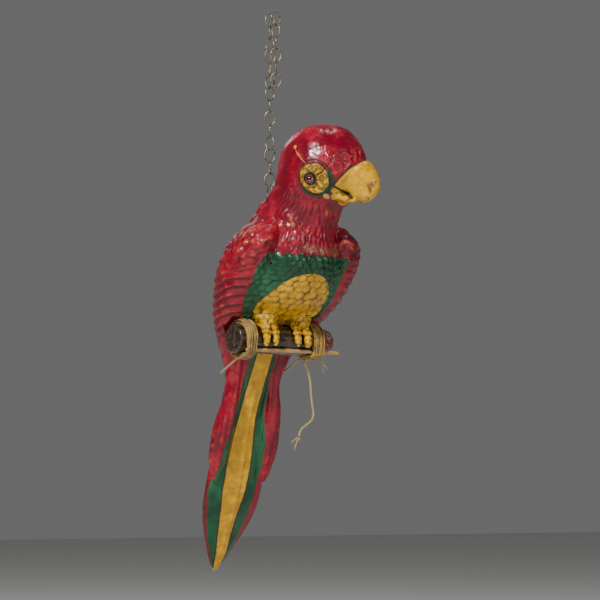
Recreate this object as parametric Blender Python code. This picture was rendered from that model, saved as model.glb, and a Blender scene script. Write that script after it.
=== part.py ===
"""A painted plaster parrot on a lashed perch, hung by a light chain.

Metres, +Z up. The origin is the point of the top link that bears on the hook, and the parrot faces -Y.
The tables below are in millimetres, and mm() turns them into metres.
"""

import math

import bmesh
import bpy
from mathutils import Matrix, Vector

# ---------------------------------------------------------------- driving dimensions, in millimetres
GAP = 0.3  # left between pieces that touch

WIRE = 1.4  # chain wire diameter
LINK_LENGTH = 15.5  # outside, along the chain
LINK_WIDTH = 11.8  # outside
LINK_POINTS = 16
# Direction of each link's width, in degrees from +X: a quarter turn each, with the slack twist of a light chain.
LINK_TURNS = (0, 52, 104, 155, 62, 113, 181, 57, 150, 58, 104, 152, 62, 150, 85, 0)
SPARE_TURNS = (0, 104, 57, 147, 57, 147)
SPARE_ALONG_HOOK = 11.0  # from the top link to the spare run's first link, along the hook

EYE_RING = 5.0  # hanging eye: radius of its ring's centreline
EYE_WIRE = 2.2
EYE_SHANK = 17.0
EYE_NECK = 2.6  # from the ring to the plug's face
EYE_SLOPE = 28.0  # the shank points out of the back, this many degrees above level
PLUG_RADIUS = 10.5
PLUG_LENGTH = 12.0

HEAD_TURN = 33.0  # the head looks this many degrees to the parrot's left
GLASS_RADIUS = 4.5
SOCKET_DEPTH = 3.6

LOG_RADIUS = 14.5
LOG_ENDS = (-52.0, 61.0)
LOG_AXIS = (-14.0, -327.8)  # y, z
STICK_RADIUS = 2.1
STICK_ENDS = (-66.0, 64.0)
STICK_ANGLE = 41.0  # the stick lies against the log this far below its front
LASHINGS = {"lashing_right": (-51.5, -34.5, 21.0), "lashing_left": (30.0, 45.0, 18.6)}  # from, to, radius
TWINE = 2.2
ARMATURE = 3.0  # iron rod in the tail
ARMATURE_ENDS = ((0.0, 5.0, -285.0), (0.0, 70.5, -487.0))

# Sections through head, neck and body, top to bottom:
# centre x, y, z, half length, half width, forward tilt and turn in degrees.
TRUNK = (
    (6, -85, -123.5, 5, 4, 0, 33),
    (6, -85, -127.0, 20, 16, 0, 33),
    (6, -85, -134.5, 31, 25, 0, 33),
    (6, -84, -145.0, 39, 31.5, 0, 33),
    (6, -84, -158.5, 43, 34.5, 0, 33),
    (6, -82, -172.0, 43, 35.5, 2, 33),
    (5, -72, -186.0, 40, 36, 6, 32),
    (2, -58, -198.0, 38.5, 37, 10, 26),
    (1, -49, -209.0, 39.5, 39, 14, 18),
    (0, -44, -220.0, 42, 43, 18, 10),
    (0, -42, -234.0, 44, 49, 20, 4),
    (0, -36, -251.0, 45, 53, 17, 0),
    (0, -27, -268.0, 44, 54, 12, 0),
    (0, -17, -286.0, 41, 50, 8, 0),
    (0, -4.5, -301.0, 33, 42, 2, 0),
    (0, 4, -311.0, 23, 30, -4, 0),
    (0, 7, -318.0, 12, 14, -6, 0),
)
# The hollow inside, in the same terms. The shell is thinner in front than behind, where the plaster settled.
CAVITY = (
    (6, -86, -129.5, 12, 9, 0, 33),
    (6, -86, -135.0, 25, 19.5, 0, 33),
    (6, -85, -145.0, 33.5, 26, 0, 33),
    (6, -85, -158.5, 37.0, 28.5, 0, 33),
    (6, -83, -172.0, 37.0, 29.5, 2, 33),
    (5, -73, -186.0, 34, 30, 6, 32),
    (2, -59.2, -198.0, 32.3, 31, 10, 26),
    (1, -50.5, -209.0, 33, 33, 14, 18),
    (0, -46, -220.0, 35, 37, 18, 10),
    (0, -45, -234.0, 36, 48, 20, 4),
    (0, -40, -251.0, 36, 57, 17, 0),
    (0, -31, -268.0, 35, 57, 12, 0),
    (0, -22, -284.0, 32, 49, 8, 0),
    (0, -11, -297.0, 23, 34, 2, 0),
)

# Sections through rump and tail: front y, z, back y, z, half width.
TAIL = (
    (-10, -290, 22, -276, 26),
    (-4, -318, 32, -300, 32),
    (5, -336, 38, -322, 29),
    (13, -352, 42, -342, 24.5),
    (22, -370, 49, -361, 22),
    (33, -395, 57, -388, 24),
    (42, -420, 64, -414, 27.5),
    (48.5, -444, 69, -439, 30.5),
    (54.5, -466, 74.5, -461, 32.5),
    (61.5, -485, 80, -480, 32.5),
    (70, -503, 87, -498, 29.5),
    (80, -520, 94, -516, 23),
    (90.5, -538, 101, -535, 14),
    (98.5, -551, 105.5, -549, 6.5),
    (103.5, -556.5, 106.5, -555.5, 1.5),
)

# Sections through the parrot's left wing: front edge x, y, z, back edge x, y, z, half thickness.
WING = (
    (43, -70, -222, 27, -38, -208, 8),
    (53, -74, -234, 29, -22, -218, 19),
    (58, -68, -250, 28, -8, -236, 27),
    (58.5, -53, -270, 26, 3, -260, 30),
    (55, -37, -290, 23, 14, -282, 28),
    (48, -17, -308, 21, 25, -303, 24),
    (39, 3, -326, 19, 35, -324, 17.5),
    (30, 15, -346, 17, 41, -346, 11.5),
    (24.5, 21, -366, 16, 44, -368, 8.5),
    (26, 25, -390, 21, 49, -392, 9.5),
    (28.5, 31, -412, 24, 54, -414, 11),
    (29, 39, -434, 26, 57, -436, 11),
    (29, 45, -450, 27, 60, -452, 7.8),
    (28.5, 50, -460, 27.5, 59, -462, 4.2),
    (28, 53, -466, 27.5, 57.5, -467.5, 1.8),
)

# The beak, in the head's own frame (forward, up): upper edge, lower edge, half width.
UPPER_BEAK = (
    (30, 2, 12, -24, 15),
    (46, 2, 19, -26, 15),
    (54, -6, 27, -30, 13),
    (58.5, -15, 33, -34, 11),
    (60, -24, 37, -37.5, 8.5),
    (58, -31, 40, -39.5, 6),
    (53, -36.5, 42, -40.5, 3.5),
)
LOWER_BEAK = (
    (8, -26, 6, -36, 12),
    (18, -28, 17, -38, 11.5),
    (26, -31, 25, -39.5, 9.5),
    (32, -34.5, 31, -39.5, 6.5),
    (35.5, -36.5, 35, -38.5, 3),
)
HEAD_CENTRE = (6, -84, -161.5)
EYE_PLACE = (34.6, 2.0, -19.2)  # sideways, forward and up from the head's centre

LEG_PLACE = (20.0, -22.0, -306.0)
LEG_SIZE = (12.0, 12.0, 14.0)
TOES = ((13.0, 4.2), (23.5, 4.8))  # x and radius of the toes on one foot
TOE_SWEEP = (60.0, -22.0)  # front toes, angles round the log, from above its front to just short of the stick
BACK_TOE_SWEEP = (70.0, 205.0)

# Routes of the twine, chosen by hand.
TAIL_TIE = (
    (31.5, -4.5, -345.2),
    (33.5, 7.0, -349.0),
    (34.4, 17.0, -352.5),
    (34.2, 26.0, -355.0),
    (32.6, 35.0, -357.0),
    (28.5, 43.5, -358.5),
    (20.0, 48.5, -359.5),
    (10.0, 50.0, -360.0),
    (0.0, 50.5, -360.2),
    (-10.0, 50.0, -360.0),
    (-20.0, 48.5, -359.5),
    (-28.5, 43.5, -358.5),
    (-33.0, 35.0, -357.0),
    (-35.0, 26.0, -355.0),
    (-36.0, 17.0, -352.0),
    (-37.0, 8.0, -348.8),
    (-37.5, -1.0, -345.4),
)
LOOSE_TWINE = (
    (32.5, -13.6, -347.5),
    (33.4, -13.7, -351.0),
    (36.0, -13.8, -357.0),
    (38.8, -13.9, -366.6),
    (40.0, -13.9, -380.6),
    (41.8, -13.7, -392.0),
    (43.0, -13.5, -400.0),
    (40.5, -13.3, -406.0),
    (34.5, -13.1, -410.5),
    (28.8, -12.9, -415.0),
    (26.2, -12.7, -421.5),
)
KNOT_RADIUS = 2.9

RED = (0.42, 0.012, 0.014)
STRAW = (0.55, 0.40, 0.16)
STEEL = (0.20, 0.17, 0.12)


# ---------------------------------------------------------------- helpers
def mm(*values):
    """Millimetres to metres, as one number or a vector of three."""
    scaled = [v * 0.001 for v in values]
    return scaled[0] if len(scaled) == 1 else Vector(scaled)


def material(name, colour, roughness, metallic=0.0):
    made = bpy.data.materials.new(name)
    made.use_nodes = True
    shader = made.node_tree.nodes["Principled BSDF"]
    shader.inputs["Base Color"].default_value = (*colour, 1.0)
    shader.inputs["Roughness"].default_value = roughness
    shader.inputs["Metallic"].default_value = metallic
    return made


def smoothed(rows, steps):
    """Catmull-Rom rows through the given ones, with this many steps from each to the next."""
    ends = [rows[0], *rows, rows[-1]]
    found = []
    for i in range(1, len(ends) - 2):
        for step in range(steps):
            t = step / steps
            found.append(
                [
                    0.5 * (2 * b + (c - a) * t + (2 * a - 5 * b + 4 * c - d) * t**2
                           + (3 * b - a - 3 * c + d) * t**3)
                    for a, b, c, d in zip(*ends[i - 1 : i + 3])
                ]
            )
    return [*found, list(rows[-1])]


def oval(centre, long_axis, short_axis, count, squareness=2.0):
    """Points round a superellipse; squareness 2 is an ellipse."""
    points = []
    for n in range(count):
        angle = math.tau * n / count
        c, s = math.cos(angle), math.sin(angle)
        across = math.copysign(abs(c) ** (2 / squareness), c)
        along = math.copysign(abs(s) ** (2 / squareness), s)
        points.append(centre + short_axis * across + long_axis * along)
    return points


def add_object(name, data, paint, smooth=True):
    made = bpy.data.objects.new(name, data)
    bpy.context.scene.collection.objects.link(made)
    data.materials.append(paint)
    if smooth and made.type == "MESH":
        data.shade_smooth()
        data.set_sharp_from_angle(angle=math.radians(40))
    return made


def solid(name, mesh_maker, paint):
    """An object from a function that fills a bmesh, with its faces turned outward."""
    bm = bmesh.new()
    mesh_maker(bm)
    bmesh.ops.recalc_face_normals(bm, faces=bm.faces)
    mesh = bpy.data.meshes.new(name)
    bm.to_mesh(mesh)
    bm.free()
    return add_object(name, mesh, paint)


def loft(name, rings, paint):
    """A closed skin through rings of points, with a flat cap on each end."""

    def build(bm):
        loops = [[bm.verts.new(p) for p in ring] for ring in rings]
        for upper, lower in zip(loops, loops[1:]):
            for n in range(len(upper)):
                m = (n + 1) % len(upper)
                bm.faces.new((upper[n], upper[m], lower[m], lower[n]))
        bm.faces.new(loops[0])
        bm.faces.new(loops[-1])

    return solid(name, build, paint)


def ball(name, centre, size, paint, turn=None, segments=16):
    """An ellipsoid with the three half sizes given."""

    def build(bm):
        bmesh.ops.create_uvsphere(bm, u_segments=segments, v_segments=segments // 2, radius=1.0)
        shape = Matrix.Translation(centre) @ (turn or Matrix.Identity(4)) @ Matrix.Diagonal((*size, 1.0))
        bmesh.ops.transform(bm, matrix=shape, verts=bm.verts)

    return solid(name, build, paint)


def rod(name, start, end, radius, paint, segments=20, end_radius=None):
    """A straight round bar, which may taper."""
    way = end - start
    turn = way.to_track_quat("Z", "X").to_matrix().to_4x4()

    def build(bm):
        bmesh.ops.create_cone(
            bm,
            cap_ends=True,
            segments=segments,
            radius1=radius,
            radius2=radius if end_radius is None else end_radius,
            depth=way.length,
            matrix=Matrix.Translation((start + end) / 2) @ turn,
        )

    return solid(name, build, paint)


def wire(name, points, radius, paint, cyclic=False, resolution=2):
    """A round wire or cord along a polyline."""
    curve = bpy.data.curves.new(name, "CURVE")
    curve.dimensions = "3D"
    curve.bevel_depth = radius
    curve.bevel_resolution = resolution
    curve.use_fill_caps = not cyclic
    spline = curve.splines.new("POLY")
    spline.points.add(len(points) - 1)
    for target, point in zip(spline.points, points):
        target.co = (*point, 1.0)
    spline.use_cyclic_u = cyclic
    return add_object(name, curve, paint)


def evenly(rows, spacing):
    """Points about this far apart on a smooth curve through the rows."""
    fine = [Vector(p) for p in smoothed(rows, 24)]
    lengths = [0.0]
    for a, b in zip(fine, fine[1:]):
        lengths.append(lengths[-1] + (b - a).length)
    count = max(2, round(lengths[-1] / spacing))
    points, at = [], 0
    for n in range(count + 1):
        wanted = lengths[-1] * n / count
        while at < len(fine) - 2 and lengths[at + 1] < wanted:
            at += 1
        share = (wanted - lengths[at]) / (lengths[at + 1] - lengths[at])
        points.append(fine[at].lerp(fine[at + 1], share))
    return points


def as_helper(obj):
    """Hides a cutter, or a shape that a Boolean joins to another."""
    obj.hide_render = True
    obj.display_type = "WIRE"
    return obj


def boolean(target, other, operation):
    step = target.modifiers.new(f"{operation.lower()} {other.name}", "BOOLEAN")
    step.operation = operation
    step.object = as_helper(other)


def clear_scene():
    for old in list(bpy.data.objects):
        bpy.data.objects.remove(old)


# ---------------------------------------------------------------- the plaster casting
def section_ring(row, count):
    """A ring from one row of TRUNK or CAVITY."""
    x, y, z, length, width, tilt, turn = row
    tilt, turn = math.radians(tilt), math.radians(turn)
    forward = Vector((math.sin(turn) * math.cos(tilt), -math.cos(turn) * math.cos(tilt), -math.sin(tilt)))
    sideways = Vector((math.cos(turn), math.sin(turn), 0.0))
    return oval(mm(x, y, z), forward * mm(length), sideways * mm(width), count)


def make_trunk(paint):
    return loft("parrot_casting", [section_ring(row, 26) for row in smoothed(TRUNK, 2)], paint)


def make_cavity(paint):
    return loft("cavity", [section_ring(row, 20) for row in CAVITY], paint)


def make_tail(paint):
    rings = []
    for front_y, front_z, back_y, back_z, width in smoothed(TAIL, 2):
        front, back = mm(0, front_y, front_z), mm(0, back_y, back_z)
        rings.append(oval((front + back) / 2, (front - back) / 2, mm(width, 0, 0), 18, squareness=2.4))
    return loft("tail", rings, paint)


def make_wing(name, side, paint):
    """The wing on the parrot's left (side 1) or right (side -1)."""
    rings = []
    rows = smoothed(WING, 2)
    for fx, fy, fz, bx, by, bz, thick in rows:
        front, back = mm(fx * side, fy, fz), mm(bx * side, by, bz)
        chord = (front - back) / 2
        outward = chord.cross(Vector((0, 0, -side))).normalized()
        rings.append(oval((front + back) / 2, chord, outward * mm(thick), 16))
    return loft(name, rings, paint)


def head_frame():
    """Where a point given as (left, forward, up) of the head's centre lies."""
    turn = Matrix.Rotation(math.radians(HEAD_TURN), 4, "Z")
    return Matrix.Translation(mm(*HEAD_CENTRE)) @ turn @ Matrix.Diagonal((1, -1, 1, 1))


def make_beak_half(name, sections, paint):
    frame = head_frame()
    rings = []
    for upper_s, upper_z, lower_s, lower_z, width in smoothed(sections, 2):
        upper, lower = mm(0, upper_s, upper_z), mm(0, lower_s, lower_z)
        ring = oval((upper + lower) / 2, (upper - lower) / 2, mm(width, 0, 0), 16)
        rings.append([frame @ p for p in ring])
    return loft(name, rings, paint)


def make_toe(name, x, radius, sweep, paint):
    """A toe bent round the log, tapering a little towards its claw."""
    start, end = (math.radians(a) for a in sweep)
    steps = 6
    bend = LOG_RADIUS + radius - 0.6
    rings = []
    for n in range(steps + 1):
        angle = start + (end - start) * n / steps
        outward = Vector((0.0, -math.cos(angle), math.sin(angle)))
        swell = radius * (1.0 - 0.35 * (n / steps) ** 3) * (0.62 if n == steps else 1.0)
        centre = mm(x, *LOG_AXIS) + outward * mm(bend)
        rings.append(oval(centre, outward * mm(swell), mm(swell, 0, 0), 8))
    return loft(name, rings, paint)


def eye_centre(side):
    """The middle of a glass eye and the way that it looks."""
    sideways, forward, up = EYE_PLACE
    frame = head_frame()
    centre = frame @ mm(side * sideways, forward, up)
    return centre, (frame.to_3x3() @ Vector((side, 0, 0))).normalized()


def make_casting(paint):
    casting = make_trunk(paint)
    for side, word in ((1, "left"), (-1, "right")):
        boolean(casting, make_wing(f"wing_{word}", side, paint), "UNION")
        leg = ball(f"leg_{word}", mm(side * LEG_PLACE[0], *LEG_PLACE[1:]), mm(*LEG_SIZE), paint)
        boolean(casting, leg, "UNION")
    boolean(casting, make_tail(paint), "UNION")
    boolean(casting, make_beak_half("lower_beak", LOWER_BEAK, paint), "UNION")
    boolean(casting, make_beak_half("upper_beak", UPPER_BEAK, paint), "UNION")
    for side, word in ((1, "left"), (-1, "right")):
        for n, (x, radius) in enumerate(TOES):
            front = make_toe(f"toe_{word}_{n}", side * x, radius, TOE_SWEEP, paint)
            back = make_toe(f"back_toe_{word}_{n}", side * x, radius * 0.9, BACK_TOE_SWEEP, paint)
            boolean(casting, front, "UNION")
            boolean(casting, back, "UNION")
    boolean(casting, make_cavity(paint), "DIFFERENCE")
    cut_casting(casting, paint)
    return casting


def cut_casting(casting, paint):
    """The seats in the plaster for the log, the lashings, the plug, the eyes and the armature."""
    y, z = LOG_AXIS
    seat = rod("log_seat", mm(-80, y, z), mm(80, y, z), mm(LOG_RADIUS + GAP), paint, 32)
    boolean(casting, seat, "DIFFERENCE")
    for name, (start, end, radius) in LASHINGS.items():
        room = rod(f"{name}_room", mm(start - GAP, y, z), mm(end + GAP, y, z), mm(radius + GAP), paint, 32)
        boolean(casting, room, "DIFFERENCE")
    outward, ring_centre = hanging_eye_frame()
    hole = rod("casting_hole", ring_centre - outward * mm(45), ring_centre, mm(PLUG_RADIUS + GAP), paint, 24)
    boolean(casting, hole, "DIFFERENCE")
    for side, word in ((1, "left"), (-1, "right")):
        centre, look = eye_centre(side)
        socket = rod(
            f"socket_{word}", centre - look * mm(SOCKET_DEPTH), centre + look * mm(12), mm(GLASS_RADIUS + GAP), paint
        )
        boolean(casting, socket, "DIFFERENCE")
    start, end = (mm(*p) for p in ARMATURE_ENDS)
    way = (end - start).normalized()
    bore = rod("armature_bore", start - way * mm(30), end + way * mm(GAP), mm(ARMATURE / 2 + GAP), paint, 12)
    boolean(casting, bore, "DIFFERENCE")


def make_glass_eye(name, side, paint):
    centre, look = eye_centre(side)
    turn = look.to_track_quat("Z", "X").to_matrix().to_4x4()
    middle = centre - look * mm(0.2)
    return ball(name, middle, mm(GLASS_RADIUS, GLASS_RADIUS, SOCKET_DEPTH - GAP - 0.2), paint, turn, 16)


# ---------------------------------------------------------------- the perch
def make_log(paint):
    """The log, tapered and worn towards its end on the parrot's left."""
    y, z = LOG_AXIS
    start, end = LOG_ENDS
    stations = ((start, 0.90), (start + 1.5, 1.0), (44.0, 1.0), (52.0, 0.95), (end - 1.5, 0.84), (end, 0.74))
    rings = []
    for x, share in stations:
        size = LOG_RADIUS * share
        rings.append(oval(mm(x, y, z), mm(0, 0, size), mm(0, size, 0), 28))
    return loft("perch_log", rings, paint)


def stick_line():
    y, z = LOG_AXIS
    reach = LOG_RADIUS + STICK_RADIUS + GAP
    angle = math.radians(STICK_ANGLE)
    return y - reach * math.cos(angle), z - reach * math.sin(angle)


def make_stick(paint):
    y, z = stick_line()
    return rod("splint_stick", mm(STICK_ENDS[0], y, z), mm(STICK_ENDS[1], y, z), mm(STICK_RADIUS), paint, 12)


def make_lashing(name, ends, paint):
    """The outer shape of the twine wound round log and stick: a turned ring with a channel for the stick."""
    y, z = LOG_AXIS
    start, end, radius = ends
    width = end - start
    shape = ((0.0, 0.62), (0.12, 0.88), (0.3, 1.0), (0.7, 1.0), (0.88, 0.88), (1.0, 0.62))
    inner = LOG_RADIUS + GAP
    rings = []
    for along, share in shape:
        size = inner + (radius - inner) * share
        rings.append(oval(mm(start + width * along, y, z), mm(0, 0, size), mm(0, size, 0), 28))
    lashing = loft(name, rings, paint)
    bore = rod(f"{name}_bore", mm(start - 5, y, z), mm(end + 5, y, z), mm(inner), paint, 28)
    boolean(lashing, bore, "DIFFERENCE")
    sy, sz = stick_line()
    channel = rod(f"{name}_channel", mm(start - 5, sy, sz), mm(end + 5, sy, sz), mm(STICK_RADIUS + GAP), paint, 12)
    boolean(lashing, channel, "DIFFERENCE")
    return lashing


def make_tail_tie(paint):
    """The twine from one lashing round the back of the tail's waist to the other."""
    points = evenly(TAIL_TIE, 2.5 * TWINE)
    return wire("tail_tie", [mm(*p) for p in points], mm(TWINE / 2), paint)


def make_loose_twine(paint):
    points = evenly(LOOSE_TWINE, 2.5 * TWINE)
    return wire("loose_twine", [mm(*p) for p in points], mm(TWINE / 2), paint)


def make_knot(paint):
    """The overhand knot on the loose end."""
    end, before = (Vector(LOOSE_TWINE[n]) for n in (-1, -2))
    way = (end - before).normalized()
    centre = end + way * (KNOT_RADIUS + GAP)
    return ball("twine_knot", mm(*centre), mm(KNOT_RADIUS, KNOT_RADIUS, KNOT_RADIUS), paint, None, 12)


# ---------------------------------------------------------------- the chain and what it holds
def link_drop():
    """How far a link's centre is below the middle of the wire that it hangs on."""
    return LINK_LENGTH / 2 - WIRE / 2 - (WIRE + GAP)


def link_pitch():
    return LINK_LENGTH - 2 * WIRE - GAP


def top_link_centre():
    """Below the origin, which is where the hook bears on the inside of the top bend."""
    return WIRE - LINK_LENGTH / 2


def link_pivot(index):
    """Height of the wire that main link number index hangs on, or that the hanging eye hangs on."""
    return top_link_centre() - link_pitch() * (index - 1) - (LINK_LENGTH / 2 - WIRE / 2)


def oval_link(name, pivot, drop, turn, paint):
    """A link whose origin is on the wire it hangs on. turn is its width's direction in degrees."""
    half_width, half_length = (LINK_WIDTH - WIRE) / 2, (LINK_LENGTH - WIRE) / 2
    ring = oval(mm(0, 0, -drop), mm(0, 0, half_length), mm(half_width, 0, 0), LINK_POINTS)
    made = wire(name, ring, mm(WIRE / 2), paint, cyclic=True, resolution=1)
    made.location = pivot
    made.rotation_euler.z = math.radians(turn)


def make_chain(paint):
    oval_link("top_link", mm(0, 0, top_link_centre()), 0.0, LINK_TURNS[0], paint)
    for n in range(1, len(LINK_TURNS)):
        oval_link(f"chain_link_{n:02d}", mm(0, 0, link_pivot(n)), link_drop(), LINK_TURNS[n], paint)


def make_spare_run(paint):
    """The chain's free end, doubled back over the same hook, so that it hangs beside the main run."""
    oval_link("spare_link_1", mm(0, -SPARE_ALONG_HOOK, top_link_centre()), 0.0, SPARE_TURNS[0], paint)
    for n in range(1, len(SPARE_TURNS)):
        pivot = mm(0, -SPARE_ALONG_HOOK, link_pivot(n))
        oval_link(f"spare_link_{n + 1}", pivot, link_drop(), SPARE_TURNS[n], paint)


def hanging_eye_frame():
    """The way the eye's shank points out of the back, and the middle of its ring."""
    slope = math.radians(EYE_SLOPE)
    outward = Vector((0.0, math.cos(slope), math.sin(slope)))
    pivot = link_pivot(len(LINK_TURNS))
    return outward, mm(0, 0, pivot + WIRE / 2 + GAP + EYE_WIRE / 2 - EYE_RING)


def make_hanging_eye(paint):
    """Bent wire: a shank that screws into the plug, then most of a ring."""
    outward, centre = hanging_eye_frame()
    inward = -outward
    sideways = inward.cross(Vector((1, 0, 0))).normalized()
    points = [centre + inward * mm(EYE_RING + EYE_SHANK), centre + inward * mm(EYE_RING + EYE_NECK)]
    for n in range(19):
        angle = math.radians(24 + (336 - 24) * n / 18)
        points.append(centre + (inward * math.cos(angle) + sideways * math.sin(angle)) * mm(EYE_RING))
    return wire("hanging_eye", points, mm(EYE_WIRE / 2), paint)


def make_plug(paint):
    """The wooden plug in the casting hole, bored for the eye's shank."""
    outward, centre = hanging_eye_frame()
    face = centre - outward * mm(EYE_RING + EYE_NECK)
    plug = rod("hole_plug", face - outward * mm(PLUG_LENGTH), face, mm(PLUG_RADIUS), paint, 24)
    far = centre - outward * mm(EYE_RING + EYE_SHANK + GAP)
    bore = rod("shank_bore", far, centre - outward * mm(EYE_RING), mm(EYE_WIRE / 2 + GAP), paint, 12)
    boolean(plug, bore, "DIFFERENCE")
    return plug


def main():
    clear_scene()
    plaster = material("painted_plaster", RED, 0.22)
    twine = material("jute_twine", STRAW, 0.85)
    steel = material("aged_steel_wire", STEEL, 0.45, 0.9)
    glass = material("amber_glass", (0.05, 0.01, 0.01), 0.05)
    bark = material("painted_log", (0.035, 0.018, 0.012), 0.35)
    bare_wood = material("bare_wood", (0.50, 0.34, 0.16), 0.6)

    make_casting(plaster)
    make_plug(bare_wood)
    make_hanging_eye(steel)
    rod("tail_armature", *(mm(*p) for p in ARMATURE_ENDS), mm(ARMATURE / 2), steel, 10)
    make_glass_eye("glass_eye_left", 1, glass)
    make_glass_eye("glass_eye_right", -1, glass)
    make_log(bark)
    make_stick(bare_wood)
    for name, ends in LASHINGS.items():
        make_lashing(name, ends, twine)
    make_tail_tie(twine)
    make_loose_twine(twine)
    make_knot(twine)
    make_chain(steel)
    make_spare_run(steel)


main()
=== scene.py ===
"""A painted plaster parrot on a lashed perch, hung by a light chain: the looks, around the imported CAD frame.

The frame is in metres. The shape work below is in millimetres, in the same axes: +Z up, the parrot faces -Y.
"""

import math

import bmesh
import bpy
import numpy as np
from mathutils import Matrix, Vector


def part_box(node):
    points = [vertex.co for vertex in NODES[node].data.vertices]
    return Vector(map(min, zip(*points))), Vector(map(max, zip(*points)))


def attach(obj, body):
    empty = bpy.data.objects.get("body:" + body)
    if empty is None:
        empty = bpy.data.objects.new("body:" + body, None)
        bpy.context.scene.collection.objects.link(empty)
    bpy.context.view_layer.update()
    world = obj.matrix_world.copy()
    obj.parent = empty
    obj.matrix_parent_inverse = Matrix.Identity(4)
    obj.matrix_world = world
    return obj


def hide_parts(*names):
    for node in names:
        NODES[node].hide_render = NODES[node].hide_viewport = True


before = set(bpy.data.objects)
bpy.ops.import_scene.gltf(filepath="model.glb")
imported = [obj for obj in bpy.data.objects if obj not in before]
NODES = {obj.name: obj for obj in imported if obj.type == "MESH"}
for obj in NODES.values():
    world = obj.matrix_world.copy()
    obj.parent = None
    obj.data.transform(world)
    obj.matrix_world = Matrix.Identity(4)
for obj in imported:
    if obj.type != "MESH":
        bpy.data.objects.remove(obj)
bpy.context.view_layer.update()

# ---------------------------------------------------------------- the camera
CAMERA_TURN = math.radians(-33.5)
CAMERA_RISE = math.radians(-5.0)
CAMERA_DISTANCE = 2.2
AIM = (0.030, -0.286)  # right of and above the hanging point, in the view
LENS = 132.0

# ---------------------------------------------------------------- sizes, in millimetres
VOXEL = 0.95
HEAD = np.array((6.0, -84.0, -161.5))
HEAD_TURN = math.radians(33.0)
HEAD_AHEAD = np.array((math.sin(HEAD_TURN), -math.cos(HEAD_TURN), 0.0))
HEAD_SIDE = np.array((math.cos(HEAD_TURN), math.sin(HEAD_TURN), 0.0))  # to the parrot's left
UP = np.array((0.0, 0.0, 1.0))
EYE_RADIUS = 4.5
EYE_DEPTH = 3.3
PLUG_SLOPE = math.radians(28.0)
LOG_AXIS = np.array((-14.0, -327.8))  # y, z
LOG_RADIUS = 14.5
STICK_ANGLE = math.radians(41.0)  # below the log's front
STICK_REACH = 16.9
STICK_RADIUS = 2.1
STICK_HIDDEN = 22.0  # how much of the stick's CAD length at its right end isn't seen
LASHING_INSET = 5.4  # how far the right lashing's windings start inside its CAD solid
EDGE = 1.1  # from a lashing's CAD face to the first winding's middle
TWINE = 2.2
LASHING_TWINE = 1.6
LINK_WIRE = 1.4
FLOOR = -660.0
FAR = 9.0  # distances inside a colour are cut off here

# The body's sections, top to bottom: z, y of the centre, half length, half width, forward tilt in degrees.
BODY = np.array((
    (-186.0, -72.0, 40.0, 36.0, 6.0), (-209.0, -49.0, 39.5, 39.0, 14.0),
    (-234.0, -42.0, 44.0, 49.0, 20.0), (-251.0, -36.0, 45.0, 53.0, 17.0),
    (-268.0, -27.0, 44.0, 54.0, 12.0), (-286.0, -17.0, 41.0, 50.0, 8.0),
    (-301.0, -4.5, 33.0, 42.0, 2.0), (-318.0, 7.0, 14.0, 18.0, -6.0),
))
# The tail: z, half width, and how far out from the middle the folded wings cover it.
TAIL = np.array((
    (-338.0, 29.0, 13.0), (-362.0, 22.0, 14.5), (-395.0, 24.0, 17.0), (-420.0, 27.5, 20.0),
    (-444.0, 30.5, 24.0), (-466.0, 32.5, 33.0), (-485.0, 32.5, 40.0), (-503.0, 29.5, 40.0),
    (-520.0, 23.0, 40.0), (-538.0, 14.0, 40.0), (-551.0, 6.5, 40.0), (-556.5, 2.0, 40.0),
))

# The tail's painted stripe: z, half width, how far off the middle, and the width of the green beside it.
STRIPE = np.array((
    (-557.0, 2.0, 0.0, 1.0), (-550.0, 4.2, 0.0, 2.0), (-537.0, 6.5, 0.0, 5.5), (-520.0, 7.8, -3.0, 9.5),
    (-500.0, 9.8, -5.0, 12.5), (-476.0, 13.3, -5.0, 13.0), (-451.0, 14.0, -4.0, 12.0),
    (-427.0, 12.8, -3.5, 10.5), (-402.0, 10.0, -3.0, 9.0), (-365.0, 9.7, -1.0, 5.5),
    (-338.0, 9.7, 0.0, 3.5),
))

# Routes repeated from the CAD, in millimetres.
LOOSE_TWINE = (
    (32.5, -13.6, -347.5), (33.4, -13.7, -351.0), (36.0, -13.8, -357.0), (38.8, -13.9, -366.6),
    (40.0, -13.9, -380.6), (41.8, -13.7, -392.0), (43.0, -13.5, -400.0), (40.5, -13.3, -406.0),
    (34.5, -13.1, -410.5), (28.8, -12.9, -415.0), (26.2, -12.7, -421.5),
)
TAIL_TIE = (
    (31.5, -4.5, -345.2), (33.5, 7.0, -349.0), (34.4, 17.0, -352.5), (34.2, 26.0, -355.0),
    (32.6, 35.0, -357.0), (28.5, 43.5, -358.5), (20.0, 48.5, -359.5), (10.0, 50.0, -360.0),
    (0.0, 50.5, -360.2), (-10.0, 50.0, -360.0), (-20.0, 48.5, -359.5), (-28.5, 43.5, -358.5),
    (-33.0, 35.0, -357.0), (-35.0, 26.0, -355.0), (-36.0, 17.0, -352.0), (-37.0, 8.0, -348.8),
    (-37.5, -1.0, -345.4),
)


# ---------------------------------------------------------------- numbers
def ramp(low, high, x):
    """0 up to low, 1 from high on, and smooth between them. low may be the larger."""
    t = np.clip((x - low) / (high - low), 0.0, 1.0)
    return t * t * (3.0 - 2.0 * t)


def scatter(*cells, seed=0):
    """A repeatable number from 0 to 1 for each cell of whole numbers."""
    mixed = np.full(np.shape(cells[0]), seed * 7919 + 104729, np.int64)
    for n, cell in enumerate(cells):
        mixed = (mixed ^ (np.asarray(cell, np.int64) * (73856093, 19349663, 83492791)[n])) * 2654435761
        mixed &= 0xFFFFFFFF
        mixed ^= mixed >> 15
    return (mixed & 0xFFFFFF) / float(0x1000000)


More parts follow.
